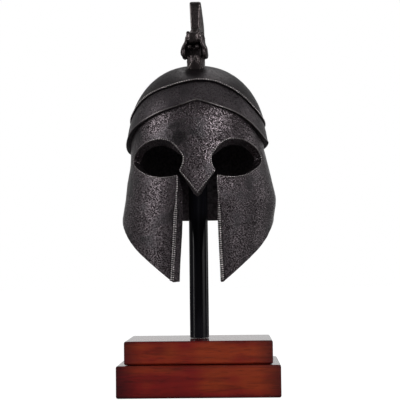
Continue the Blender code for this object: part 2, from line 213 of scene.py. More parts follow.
def rise_at(z):
    """The rise that belongs to a height."""
    if z <= EQUATOR_Z:
        return (z - TIP_Z) / SIDE_HEIGHT
    share = min((z - EQUATOR_Z) / DOME_HEIGHT, 1.0)
    return 1 + math.asin(share ** (POWER / 2)) * 2 / math.pi


def surface(turn, rise):
    """Point of the helmet's outer surface; turn is the angle from the front, positive to the right."""
    s, c = math.sin(turn), math.cos(turn)
    z, half, front, back = reaches(rise, s)
    x = half * math.copysign(abs(s) ** (2 / POWER), s)
    y = -(front if c > 0 else back) * math.copysign(abs(c) ** (2 / POWER), c)
    return Vector((x, y, z))


def raised(turn, rise, stand):
    """Point that stands off the outer surface by the given distance along its normal."""
    if rise > 1.999:
        return surface(turn, 2) + Vector((0, 0, stand))
    step = 0.01
    across = surface(turn + step, rise) - surface(turn - step, rise)
    up = surface(turn, min(rise + step, 1.9999)) - surface(turn, rise - step)
    return surface(turn, rise) + across.cross(up).normalized() * stand


def crown_z(x, y, stand):
    """Height of a skin that stands off the dome, at a place seen from above."""
    reach = FRONT_REACH * SIDES[-1][3] if y < 0 else BACK_REACH * SIDES[-1][4]
    across = (abs(x) / (HALF_WIDTH * SIDES[-1][1] + stand)) ** POWER
    along = (abs(y) / (reach + stand)) ** POWER
    radius = min((across + along) ** (1 / POWER), 1.0)
    return EQUATOR_Z + (DOME_HEIGHT + stand) * (1 - radius ** POWER) ** (1 / POWER)


def grain(p, size=1.0):
    """Relief of the hammered casting: shallow lumps and small dents, in metres."""
    lumps = noise.noise(p / 0.0060) * 0.00013
    dents = noise.noise(p / (0.0026 * size) + Vector((7, 3, 1))) * 0.00011
    pits = min(noise.noise(p / (0.0017 * size) + Vector((2, 9, 5))) + 0.1, 0.0) * 0.00016
    return lumps + dents + pits


# Materials

WHITE = (1.0, 1.0, 1.0)


def nodes_of(name):
    made = bpy.data.materials.new(name)
    made.use_nodes = True
    tree = made.node_tree
    return made, tree, tree.nodes["Principled BSDF"]


def noise_at(tree, vector, scale, detail, rough=0.5, distortion=0.0):
    """Value of a noise texture at the given coordinates."""
    node = tree.nodes.new("ShaderNodeTexNoise")
    node.inputs["Scale"].default_value = scale
    node.inputs["Detail"].default_value = detail
    node.inputs["Roughness"].default_value = rough
    node.inputs["Distortion"].default_value = distortion
    tree.links.new(vector, node.inputs["Vector"])
    return node.outputs["Fac"]


def stretched(tree, vector, scale):
    """The coordinates scaled along each axis, so that a texture runs along one of them."""
    node = tree.nodes.new("ShaderNodeMapping")
    node.inputs["Scale"].default_value = scale
    tree.links.new(vector, node.inputs["Vector"])
    return node.outputs["Vector"]


def ramp(tree, source, *stops):
    """Colour that follows the source through the stops, each a place with a colour or a grey."""
    node = tree.nodes.new("ShaderNodeValToRGB")
    elements = node.color_ramp.elements
    while len(elements) < len(stops):
        elements.new(0.5)
    for element, (place, tone) in zip(elements, stops):
        element.position = place
        element.color = (*tone, 1) if isinstance(tone, tuple) else (tone, tone, tone, 1)
    tree.links.new(source, node.inputs["Fac"])
    return node.outputs["Color"]


def math_node(tree, operation, first, second=0.0):
    node = tree.nodes.new("ShaderNodeMath")
    node.operation = operation
    for socket, value in zip(node.inputs, (first, second)):
        if isinstance(value, float):
            socket.default_value = value
        else:
            tree.links.new(value, socket)
    return node.outputs[0]


def mix_colour(tree, factor, first, second, mode="MIX"):
    node = tree.nodes.new("ShaderNodeMix")
    node.data_type = "RGBA"
    node.blend_type = mode
    for socket, value in ((node.inputs[0], factor), (node.inputs[6], first), (node.inputs[7], second)):
        if isinstance(value, float):
            socket.default_value = value
        elif isinstance(value, tuple):
            socket.default_value = (*value, 1)
        else:
            tree.links.new(value, socket)
    return node.outputs[2]


def add_bump(tree, shader, height, distance, strength):
    node = tree.nodes.new("ShaderNodeBump")
    node.inputs["Distance"].default_value = distance
    node.inputs["Strength"].default_value = strength
    tree.links.new(height, node.inputs["Height"])
    tree.links.new(node.outputs["Normal"], shader.inputs["Normal"])


def bronze(name, dark, metal, worn_and_lit, cell, pit, depth, roughness, wear_and_painted_light=False):
    """Patinated bronze: smooth dark metal with patches of rubbed metal that are full of small pits.

    Pits are a cell wide and a depth deep, and the higher pit is, the more there are. With the mesh's layer
    switched on, the rubbed places follow that layer instead of the patches; on the ram's head that layer also
    holds painted light on the brow and above it, and beside the cheek ropes painted shade.
    """
    made, tree, shader = nodes_of(name)
    place = tree.nodes.new("ShaderNodeTexCoord").outputs["Object"]
    pits = noise_at(tree, place, 1 / cell, 1.0, distortion=0.5)
    fine = noise_at(tree, place, 1.7 / cell, 1.0)
    patches = noise_at(tree, place, 48.0, 2.0, 0.55)
    rubbed_and_lit = ramp(tree, patches, (0.36, 0.15), (0.50, 1.0))
    solid = ramp(tree, pits, (pit - 0.06, 0.0), (pit + 0.06, 1.0))
    solid = mix_colour(tree, rubbed_and_lit, WHITE, solid)
    speck = ramp(tree, fine, (0.34, 0.66), (0.50, 1.0), (0.66, 1.34))
    height = math_node(tree, "ADD", solid, math_node(tree, "MULTIPLY", fine, 0.8))
    if wear_and_painted_light:
        layer = tree.nodes.new("ShaderNodeAttribute")
        layer.attribute_name = "wear_and_painted_light"
        rubbed_and_lit = layer.outputs["Fac"]
    tone = mix_colour(tree, solid, dark, mix_colour(tree, rubbed_and_lit, metal, worn_and_lit))
    tone = mix_colour(tree, 1.0, tone, speck, "MULTIPLY")
    tree.links.new(tone, shader.inputs["Base Color"])
    gloss = ramp(tree, solid, (0.0, min(roughness + 0.25, 1.0)), (1.0, roughness))
    tree.links.new(gloss, shader.inputs["Roughness"])
    shader.inputs["Metallic"].default_value = 0.92
    add_bump(tree, shader, height, depth, 1.0)
    return made


def wood(name):
    """Mahogany stain under gloss lacquer: soft streaks along the board, darker at its ends, with painted shade
    along its top and bottom edges.
    """
    made, tree, shader = nodes_of(name)
    coordinates = tree.nodes.new("ShaderNodeTexCoord").outputs
    along = stretched(tree, coordinates["Object"], (0.10, 1.0, 1.0))
    streaks = noise_at(tree, along, 240.0, 4.0, 0.6)
    broad = noise_at(tree, along, 42.0, 3.0, 0.55)
    flame = noise_at(tree, coordinates["Object"], 26.0, 2.0)
    pores = noise_at(tree, along, 900.0, 2.0)
    figure = math_node(tree, "ADD", broad, math_node(tree, "MULTIPLY", flame, 0.6))
    deep, red, amber = (0.160, 0.004, 0.007), (0.290, 0.012, 0.009), (0.400, 0.046, 0.010)
    stain = ramp(tree, figure, (0.62, deep), (0.80, red), (0.96, amber))
    lines = ramp(tree, streaks, (0.30, 0.66), (0.50, 1.0), (0.70, 1.16))
    colour = mix_colour(tree, 1.0, stain, lines, "MULTIPLY")
    dots = ramp(tree, pores, (0.34, 0.60), (0.44, 1.0))
    colour = mix_colour(tree, 0.7, colour, mix_colour(tree, 1.0, colour, dots, "MULTIPLY"))
    parts = tree.nodes.new("ShaderNodeSeparateXYZ")
    tree.links.new(coordinates["Generated"], parts.inputs[0])
    # the stain darkens towards the ends (X); the dark lines along the top and bottom edges (Z) are painted
    # shade
    for axis, start, low in (("X", 0.74, (0.34, 0.26, 0.70)), ("Z", 0.78, (0.42, 0.32, 0.60))):
        off_middle = math_node(tree, "SUBTRACT", parts.outputs[axis], 0.5)
        off_middle = math_node(tree, "ABSOLUTE", off_middle)
        off_middle = math_node(tree, "MULTIPLY", off_middle, 2.0)
        stain_and_edge_shade = ramp(tree, off_middle, (start, WHITE), (1.0, low))
        colour = mix_colour(tree, 1.0, colour, stain_and_edge_shade, "MULTIPLY")
    tree.links.new(colour, shader.inputs["Base Color"])
    shader.inputs["Roughness"].default_value = 0.45
    shader.inputs["Specular IOR Level"].default_value = 0.2
    shader.inputs["Coat Weight"].default_value = 0.8
    shader.inputs["Coat Roughness"].default_value = 0.06
    add_bump(tree, shader, streaks, 0.00005, 0.4)
    return made


def lacquer(name):
    """Gloss black paint with a faint drag along the post."""
    made, tree, shader = nodes_of(name)
    place = tree.nodes.new("ShaderNodeTexCoord").outputs["Object"]
    drag = noise_at(tree, stretched(tree, place, (1.0, 1.0, 0.04)), 700.0, 3.0, 0.6)
    tone = ramp(tree, drag, (0.3, (0.006, 0.006, 0.008)), (0.7, (0.010, 0.010, 0.014)))
    tree.links.new(tone, shader.inputs["Base Color"])
    shader.inputs["Specular IOR Level"].default_value = 0.20
    tree.links.new(ramp(tree, drag, (0.3, 0.10), (0.7, 0.16)), shader.inputs["Roughness"])
    return made


# Colours of the pits, of the plain metal and of the rubbed metal
SHELL = bronze(
    "cast_bronze", (0.018, 0.013, 0.015), (0.066, 0.060, 0.065), (0.168, 0.142, 0.154),
    cell=0.00095, pit=0.47, depth=0.00020, roughness=0.27,
)
PLATE = bronze(
    "plate_bronze", (0.018, 0.014, 0.016), (0.060, 0.054, 0.061), (0.132, 0.115, 0.124),
    cell=0.00095, pit=0.46, depth=0.00016, roughness=0.30,
)
CAP = bronze(
    "cap_bronze", (0.034, 0.029, 0.031), (0.056, 0.050, 0.053), (0.072, 0.063, 0.066),
    cell=0.0011, pit=0.43, depth=0.00006, roughness=0.34,
)
WALL_CUT = bronze(
    "cut_bronze", (0.034, 0.026, 0.027), (0.070, 0.056, 0.058), (0.100, 0.080, 0.082),
    cell=0.0016, pit=0.36, depth=0.00004, roughness=0.40,
)
RIM = bronze(
    "rubbed_bronze_and_shade", (0.030, 0.025, 0.026), (0.020, 0.016, 0.018), (0.700, 0.640, 0.640),
    cell=0.0030, pit=0.10, depth=0.00002, roughness=0.32, wear_and_painted_light=True,
)
INSIDE = bronze(
    "inner_bronze", (0.100, 0.092, 0.100), (0.110, 0.100, 0.110), (0.130, 0.118, 0.130),
    cell=0.0040, pit=0.30, depth=0.00002, roughness=0.70,
)
ORNAMENT = bronze(
    "ornament_bronze", (0.024, 0.018, 0.019), (0.040, 0.031, 0.033), (0.330, 0.285, 0.280),
    cell=0.0014, pit=0.36, depth=0.00003, roughness=0.34, wear_and_painted_light=True,
)
WOOD = wood("stained_wood")
BLACK = lacquer("black_lacquer")


# Pieces

def place_piece(made, slot, *nodes):
    """Adds the piece to the scene, on the object's one body, in place of the nodes that it dresses."""
    scene.collection.objects.link(made)
    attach(made, "root")
    if nodes:
        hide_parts(*nodes)


def finish_mesh(name, bm, materials, sharp=40):
    """Object of the mesh, smooth but for edges that turn by more than the given degrees."""
    mesh = bpy.data.meshes.new(name)
    bm.to_mesh(mesh)
    bm.free()
    for material in materials:
        mesh.materials.append(material)
    mesh.shade_smooth()
    mesh.set_sharp_from_angle(angle=math.radians(sharp))
    return bpy.data.objects.new(name, mesh)


def skin(bm, rings, wrap=False):
    """Adds faces from ring to ring; wrap joins the last to the first, or else both ends are closed."""
    pairs = list(zip(rings, rings[1:]))
    if wrap:
        pairs.append((rings[-1], rings[0]))
    for low, high in pairs:
        for k in range(len(low)):
            n = (k + 1) % len(low)
            bm.faces.new((low[k], low[n], high[n], high[k]))
    if not wrap:
        bm.faces.new(list(reversed(rings[0])))
        bm.faces.new(rings[-1])


def closed_rows(rows, wrap=True):
    """Mesh through rings of equally many points."""
    bm = bmesh.new()
    skin(bm, [[bm.verts.new(p) for p in ring] for ring in rows], wrap)
    bmesh.ops.remove_doubles(bm, verts=bm.verts, dist=1e-7)
    bmesh.ops.recalc_face_normals(bm, faces=bm.faces)
    return bm


def apply_modifiers(made):
    """Gives the piece, which isn't in the scene yet, the mesh that its modifiers make."""
    scene.collection.objects.link(made)
    bpy.context.view_layer.update()
    mesh = bpy.data.meshes.new_from_object(made.evaluated_get(bpy.context.evaluated_depsgraph_get()))
    made.modifiers.clear()
    old = made.data
    made.data = mesh
    bpy.data.meshes.remove(old)
    scene.collection.objects.unlink(made)


def cut(made, tools):
    """Takes the tools out of the piece and removes them."""
    for tool in tools:
        scene.collection.objects.link(tool)
        mod = made.modifiers.new(tool.name, "BOOLEAN")
        mod.object = tool
        mod.operation = "DIFFERENCE"
        mod.solver = "EXACT"
    apply_modifiers(made)
    for tool in tools:
        bpy.data.objects.remove(tool, do_unlink=True)


# The turns lie closer together at the front, where the relief is seen best.
turns = [u - 0.35 * math.sin(u) for u in (2 * math.pi * k / 320 for k in range(320))]


def eye_point(row):
    share_x, share_z, bevel = row
    return (EYE_REACH * share_x, TIP_Z + EYE_FLOOR + EYE_HEIGHT * share_z, LID_BEVEL * bevel)


def half_opening(side, cheek_bevel):
    """Half of the face opening as (distance, z, bevel), from the nose's tip to the foot of the slot."""
    corner = eye_point(EYE[0])
    nose = (0.0, TIP_Z + EYE_FLOOR + EYE_HEIGHT * NOSE_TIP, LID_BEVEL * NOSE_BEVEL)
    steps, softer = 16, 0.30
    ridge = []
    for k in range(steps):
        point = [a + (b - a) * k / steps for a, b in zip(nose, corner)]
        ridge.append((point[0], point[1], LID_BEVEL * (NOSE_BEVEL + softer * (1 - k / steps) ** 2)))
    lids = smooth([eye_point(row) for row in EYE], 6)
    edge = 2 if side > 0 else 1
    slot = smooth([(SLOT_HALF * row[edge], TIP_Z + EYE_FLOOR * row[0], cheek_bevel) for row in SLOT], 5)
    return ridge, lids, slot


def wall_edges(here, before, after, side):
    """Outer and inner edge of the cut: through the wall along its normal, and in by the bevel."""
    x, z, bevel = here
    across = Vector((after[0] - before[0], after[1] - before[1])).normalized()
    rise = rise_at(z)
    turn = math.asin(min(x / reaches(rise, side)[1], 1.0) ** (POWER / 2)) * side
    outer = surface(turn, rise)
    inner = raised(turn, rise, -WALL) + Vector((across.y * side, 0, -across.x)) * bevel
    return outer, inner


opening = []
rims = {}
for side, cheek_bevel in ((1, RIGHT_CHEEK_BEVEL), (-1, LEFT_CHEEK_BEVEL)):
    ridge, lids, slot = half_opening(side, cheek_bevel)
    path = ridge + lids + slot
    mirrored = [(-path[1][0], path[1][1], path[1][2])]
    ahead = path[1:] + [(path[-1][0], path[-1][1] - SKIRT, path[-1][2])]
    half = [wall_edges(p, b, a, side) for p, b, a in zip(path, mirrored + path, ahead)]
    lip = len(ridge) + len(lids)
    outline = [outer for outer, _ in half]
    rims[side] = (outline[:lip + 1], outline[lip:])
    opening += half if side > 0 else list(reversed(half[1:]))


def face_tool():
    """Tapered block through the front wall, in the outline of the eyes, the nose and the slot."""
    ahead, through = 0.3, 1.2
    rings = [[], [], [], []]
    for outer, inner in opening:
        front = outer + (outer - inner) * ahead
        behind = outer + (inner - outer) * through
        rings[0].append(Vector((front.x, -FRONT_REACH * 1.4, front.z)))
        rings[1].append(front)
        rings[2].append(behind)
        rings[3].append(Vector((behind.x, max(-FRONT_REACH * 0.25, behind.y + WALL), behind.z)))
    return finish_mesh("face_tool", closed_rows(rings, False), [WALL_CUT])


def edge_tool():
    """The lower edge is cut square to the wall all round, from cheek tip to neck guard."""
    below = -0.2
    edge = [row[0] for row in smooth(LOWER_EDGE, 8)]
    rings = []
    for degrees in edge[:-1] + [-d for d in reversed(edge[1:])]:
        turn = math.radians(degrees)
        rise = table(LOWER_EDGE, 1, abs(degrees))
        corners = ((rise, WALL), (rise, -WALL * 2), (below, -WALL * 2), (below, WALL))
        rings.append([raised(turn, level, stand) for level, stand in corners])
    return finish_mesh("edge_tool", closed_rows(rings), [WALL_CUT])


def build_shell():
    """The wall: its relief where it shows, plain under the plates and waved inside, cut open at the face."""
    low, seen, top = -SKIRT / SIDE_HEIGHT, 1.36, 2
    seen_rows, covered_rows, inner_rows = 150, 8, 40
    wave_length, wave_height = 0.012, 0.0002
    rises = [low + (seen - low) * k / seen_rows for k in range(seen_rows + 1)]
    rises += [seen + (top - seen) * k / covered_rows for k in range(1, covered_rows + 1)]
    rows = []
    for rise in rises:
        ring = [surface(turn, rise) for turn in turns]
        if rise <= seen:
            ring = [raised(turn, rise, grain(p)) for turn, p in zip(turns, ring)]
        rows.append(ring)
    rows.append([raised(turn, top, -WALL) for turn in turns])
    for k in range(1, inner_rows + 1):
        rise = top + (low - top) * k / inner_rows
        waves = [noise.noise(surface(turn, rise) / wave_length) * wave_height for turn in turns]
        rows.append([raised(turn, rise, lift - WALL) for turn, lift in zip(turns, waves)])
    made = finish_mesh("shell_casting", closed_rows(rows), [SHELL, INSIDE])
    for face in made.data.polygons:
        if Vector((face.center.x, face.center.y, 0)).dot(face.normal) < 0:
            face.material_index = 1
    cut(made, [face_tool(), edge_tool()])
    made.data.shade_smooth()
    made.data.set_sharp_from_angle(angle=math.radians(38))
    made.data.transform(TURN)
    place_piece(made, "bronze", "face_shell")


def edge_rise(rows, turn):
    """Rise of a plate's lower edge at a turn."""
    degrees = (math.degrees(turn) + 180) % 360 - 180
    return rise_at(EQUATOR_Z + DOME_HEIGHT * table(rows, 2 if degrees > 0 else 1, abs(degrees)))


def band_stand(turn, share):
    """How far the band stands off the wall: more at the sides and back, and less towards its upper edge."""
    side = min(abs(math.sin(turn / 2)) * 1.5, 1.0) ** 2
    return BAND_STAND + BAND_FLARE * side * (1 - 0.65 * share)


def build_band():
    """The brow's plate, with a fine lip along its lower edge; its upper edge lies under the cap."""
    count, under_cap, lip_height = 26, 0.0078, 0.00035
    rows = [[] for _ in range((count + 1) * 2)]
    for turn in turns:
        low = edge_rise(BAND_EDGE, turn)
        high = edge_rise(CAP_EDGE, turn) - under_cap
        for k in range(count + 1):
            share = k / count
            rise = low + (high - low) * share
            relief = grain(surface(turn, rise)) * 0.9
            lip = lip_height * math.exp(-((share * 8) ** 2))
            rows[k].append(raised(turn, rise, PLATE_GAP))
            rows[-1 - k].append(raised(turn, rise, band_stand(turn, share) + relief + lip))
    made = finish_mesh("band_plate", closed_rows(rows), [PLATE])
    made.data.transform(TURN)
    place_piece(made, "bronze", "brow_band")


def build_cap():
    """The dome's plate, smoother than the wall."""
    count, size, share = 60, 1.3, 0.55
    rows = [[] for _ in range((count + 1) * 2)]
    for turn in turns:
        low = edge_rise(CAP_EDGE, turn)
        for k in range(count + 1):
            rise = low + (2 - low) * k / count
            relief = 0 if k == count else grain(surface(turn, rise), size) * share
            rows[k].append(raised(turn, rise, PLATE_GAP))
            rows[-1 - k].append(raised(turn, rise, CAP_STAND + relief))
    made = finish_mesh("cap_plate", closed_rows(rows), [CAP])
    made.data.transform(TURN)
    place_piece(made, "bronze", "skull_cap")


def wear_and_shade_layer(bm):
    return bm.verts.layers.float.get("wear_and_painted_light") or bm.verts.layers.float.new("wear_and_painted_light")


def outward(p):
    """Level direction away from the helmet's middle, square to its plan."""
    return Vector((p.x / HALF_WIDTH ** 2, p.y / FRONT_REACH ** 2, 0)).normalized()


def beads(bm, path, pitch, radius):
    """Adds a row of small round beads along a path, bright on top and dark where they meet the plate."""
    layer = wear_and_shade_layer(bm)
    for centre, _ in even(path, pitch):
        away = outward(centre)
        found = bmesh.ops.create_icosphere(bm, subdivisions=2, radius=radius)
        for v in found["verts"]:
            v[layer] = min(max((v.co.dot(away) / radius - 0.35) * 2.2, 0.0), 1.0)
        bmesh.ops.translate(bm, verts=found["verts"], vec=centre)


def strip(bm, path, reach, sides, bright, slant=0.0, lay=0.0, depth=0.0):
    """Adds a closed moulding along (point, outward, across) places; reach gives its half width and height.

    With a lay it is divided into lobes of that length, which the slant sets askew like the turns of a rope.
    """
    layer = wear_and_shade_layer(bm)
    rings = []
    run = 0.0
    for k, (p, out, across) in enumerate(path):
        if k:
            run += (p - path[k - 1][0]).length
        wide, tall = reach(k / (len(path) - 1))
        ring = []
        for j in range(sides):
            angle = 2 * math.pi * j / sides - math.pi
            wave = math.cos(slant * angle - 2 * math.pi * run / lay) if lay else 0.0
            place = across * math.sin(angle) * wide + out * math.cos(angle) * tall
            ring.append(bm.verts.new(p + place * (1 + depth * wave)))
            ring[-1][layer] = min(max(bright + 0.55 * wave, 0.0), 1.0)
        rings.append(ring)
    skin(bm, rings)


def framed(points, pitch):
    """Evenly spaced places along a path, with the wall's outward direction and the one across the path."""
    out = []
    for p, along in even(points, pitch):
        away = outward(p)
        away = (away - along * away.dot(along)).normalized()
        out.append((p, away, along.cross(away).normalized()))
    return out


def add_trim(name, bm):
    bmesh.ops.recalc_face_normals(bm, faces=bm.faces)
    made = finish_mesh(name, bm, [RIM], 60)
    made.data.transform(TURN)
    place_piece(made, "bronze")


def grown(t):
    """How far the rope has reached its full size: it is thin along its first stretch, then swells."""
    return min(max((t - 0.12) / 0.12, 0.0), 1.0)


def rope_reach(t):
    return 0.00055 + 0.00075 * grown(t), 0.00055 + 0.00030 * min(t * 5, 1.0)


def build_trim():
    """Rubbed edges: rims round the eyes, ropes down the cheeks, beads on the cap and the band's rim; beside
    most of each rope, a thin dark strip of painted shade stands for the shade in its groove.
    """
    bm = bmesh.new()
    for lids, _ in rims.values():
        places = framed(lids, 0.00024)
        strip(bm, places, lambda t: (0.00050, 0.00046), 8, 0.34, slant=0.3, lay=0.0019, depth=0.16)
    add_trim("eye_rims", bm)

    bm = bmesh.new()
    for side, (_, slot) in rims.items():
        rope = []
        groove_shade = []
        for p, out, across in framed([q for q in slot if q.z > TIP_Z + 0.0002], 0.00018):
            inward = across if across.x * side > 0 else -across
            drop = (slot[0].z - p.z) / (slot[0].z - TIP_Z)
            middle = p + inward * (0.00040 + 0.00080 * grown(drop)) + out * 0.00020
            rope.append((middle, out, across))
            groove_shade.append((middle + inward * 0.0017, out, across))
        strip(bm, rope, rope_reach, 20, 0.42, slant=0.55 * side, lay=0.00175, depth=0.24)
        # painted shade: a thin dark strip beside the rope stands for the shade in the groove there
        strip(bm, groove_shade[60:], lambda t: (0.00045, 0.00026), 8, 0.0)
    add_trim("cheek_ropes", bm)

    bm = bmesh.new()
    ring = [raised(turn, edge_rise(CAP_EDGE, turn) + 0.006, CAP_STAND + 0.0001) for turn in turns]
    beads(bm, ring + ring[:1], 0.00205, 0.00078)
    add_trim("cap_beads", bm)

    bm = bmesh.new()
    ring = [raised(turn, edge_rise(BAND_EDGE, turn) + 0.004, band_stand(turn, 0) + 0.0002) for turn in turns]
    strip(bm, framed(ring + ring[:1], 0.0006), lambda t: (0.00052, 0.00046), 8, 0.42)
    add_trim("band_rim", bm)


def remeshed(name, bm, voxel, rounds):
    """Joins overlapping closed forms into one even skin and softens it a little."""
    bmesh.ops.recalc_face_normals(bm, faces=bm.faces)
    made = finish_mesh(name, bm, [])
    mod = made.modifiers.new("skin", "REMESH")
    mod.mode = "VOXEL"
    mod.voxel_size = voxel
    soft = made.modifiers.new("soft", "SMOOTH")
    soft.factor = 0.5
    soft.iterations = rounds
    apply_modifiers(made)
    made.data.materials.append(ORNAMENT)
    return made


def add_wear(made, strength, base, rounds):
    """Stores how convex the surface is at each point, where handling rubs the patina off."""
    bm = bmesh.new()
    bm.from_mesh(made.data)
    bm.normal_update()
    values = []
    for v in bm.verts:
        near = [e.other_vert(v).co for e in v.link_edges]
        centre = sum(near, Vector()) / len(near)
        reach = sum((q - v.co).length for q in near) / len(near)
        values.append((v.co - centre).dot(v.normal) / max(reach, 1e-6))
    for _ in range(rounds):
        values = [
            (values[v.index] + sum(values[e.other_vert(v).index] for e in v.link_edges))
            / (1 + len(v.link_edges))
            for v in bm.verts
        ]
    bm.free()
    layer = made.data.attributes.new("wear_and_painted_light", "FLOAT", "POINT")
    layer.data.foreach_set("value", [min(max(base + strength * x, 0.0), 1.0) for x in values])


def add_ball(bm, centre, half, power, turn=0.0):
    """Adds an ellipsoid, in millimetres; a higher power makes it squarer, like a rounded block."""
    found = bmesh.ops.create_icosphere(bm, subdivisions=5, radius=1)
    for v in found["verts"]:
        v.co /= sum(abs(c) ** power for c in v.co) ** (1 / power)
    scale = Matrix.Diagonal((*(Vector(half) / 1000), 1))
    matrix = Matrix.Translation(Vector(centre) / 1000) @ Matrix.Rotation(turn, 4, "Y") @ scale
    bmesh.ops.transform(bm, matrix=matrix, verts=found["verts"])


def add_tube(bm, stations, sides, ring_pitch, ring_depth):
    """Adds a closed tube along (point, radius) stations, ridged across like a horn."""
    rings = []
    run = 0.0
    for k, (p, radius) in enumerate(stations):
        if k:
            run += (p - stations[k - 1][0]).length
        along = (stations[min(k + 1, len(stations) - 1)][0] - stations[max(k - 1, 0)][0]).normalized()
        out = (Vector((1, 0, 0)) - along * along.x).normalized()
        up = out.cross(along)
        radius *= 1 - ring_depth * (0.5 + 0.5 * math.cos(2 * math.pi * run / ring_pitch))
        rings.append([
            bm.verts.new(p + (out * math.cos(a) + up * math.sin(a)) * radius)
            for a in (2 * math.pi * j / sides for j in range(sides))
        ])
    skin(bm, rings)


SOCKET_Y = -SOCKET_SETBACK
SEAT_Z = crown_z(0, SOCKET_Y, CAP_STAND + SEAT_GAP)
RIM_Z = SEAT_Z + SOCKET_HEIGHT
DECK_Z = SEAT_Z + SOCKET_HEIGHT * 0.5
HEAD_FOOT = DECK_Z + SEAT_GAP
HEAD_BACK = SOCKET_Y + HEAD_DEPTH * 0.55
HEAD_TOP = HEAD_FOOT + HEAD_HEIGHT * 1.10

# Forms of the head, in millimetres from the middle of the socket at the head's foot:
# centre, half sizes, squareness
HEAD_FORMS = [
    ((0.0, -3.2, 19.3), (6.4, 9.2, 5.5), 3.4), ((0.0, 3.0, 20.0), (5.8, 9.0, 6.4), 2.6),
    ((0.0, 3.2, 8.4), (9.6, 7.0, 8.2), 3.0), ((0.0, 4.6, 24.0), (4.9, 8.6, 5.3), 3.0),
    ((0.0, 11.8, 12.6), (4.2, 2.9, 14.6), 3.0),
]
# The same for the forms on both sides, with a lean towards the middle in degrees
PAIRED_FORMS = [
    ((9.0, -2.2, 6.9), (2.1, 7.8, 5.6), 2.5, 6), ((7.9, -2.6, 12.6), (2.0, 8.2, 5.6), 2.5, 22),
    ((4.6, -11.6, 17.2), (1.5, 1.5, 1.0), 2.0, 0), ((3.3, -8.4, 10.9), (2.0, 4.0, 2.3), 2.0, 0),
    ((4.9, -8.4, 23.4), (1.7, 2.2, 1.8), 2.0, 0), ((4.2, 4.0, 24.0), (3.0, 5.0, 3.0), 2.0, 0),
]
# Horns, in the same way, each a line of places with its radius: the front ridge, then the curl behind it
HORNS = [
    [((4.6, -8.6, 24.0), 0.9), ((6.2, -8.8, 19.5), 1.3), ((6.9, -9.2, 15.4), 1.4), ((9.0, -9.0, 11.6), 1.5),
     ((10.6, -8.0, 7.8), 1.4), ((10.7, -7.0, 4.0), 1.1)],
    [((3.6, -1.0, 25.0), 1.4), ((4.8, 2.4, 24.6), 1.9), ((5.6, 6.2, 21.0), 2.0), ((6.0, 7.0, 16.0), 2.0),
     ((6.8, 4.0, 12.4), 1.9), ((7.2, 0.0, 12.6), 1.6), ((6.8, -2.0, 16.0), 1.2), ((6.4, -0.4, 18.6), 0.9)],
]
HEAD_TURN = Matrix.Rotation(math.radians(-9.0), 4, "Z")


def build_head():
    """Ram's head with ridged horns, turned a little on its socket."""
    bm = bmesh.new()
    for centre, half, power in HEAD_FORMS:
        add_ball(bm, centre, half, power)
    for side in (1, -1):
        for (x, y, z), half, power, lean in PAIRED_FORMS:
            add_ball(bm, (x * side, y, z), half, power, math.radians(-lean * side))
        for horn in HORNS:
            line = smooth([(x * side, y, z, r) for (x, y, z), r in horn], 14)
            stations = [(Vector((x, y, z)) / 1000, r / 1000) for x, y, z, r in line]
            add_tube(bm, stations, 24, 0.0015, 0.20)
    made = remeshed("ram_head_casting", bm, 0.00034, 3)
    # curls of fleece behind the brow, and almost none on the face
    for v in made.data.vertices:
        curl = noise.noise(v.co / 0.0017 + Vector((4, 1, 8)))
        fleece = 0.00030 if v.co.y > -0.002 and v.co.z > 0.014 else 0.00006
        v.co += v.co.normalized() * curl * fleece
    made.data.transform(Matrix.Translation((0, SOCKET_Y, HEAD_FOOT)) @ HEAD_TURN)
    made.data.shade_smooth()
    add_wear(made, 1.5, 0.10, 6)
    # painted light: the brow and all above it is made a little lighter, as on the top of the head where light
    # falls from above
    brow = 0.0142
    layer = made.data.attributes["wear_and_painted_light"].data
    for v, worn_and_lit in zip(made.data.vertices, layer):
        if v.co.z - HEAD_FOOT > brow:
            worn_and_lit.value = min(worn_and_lit.value + 0.10, 1.0)
    place_piece(made, "bronze", "ram_head")


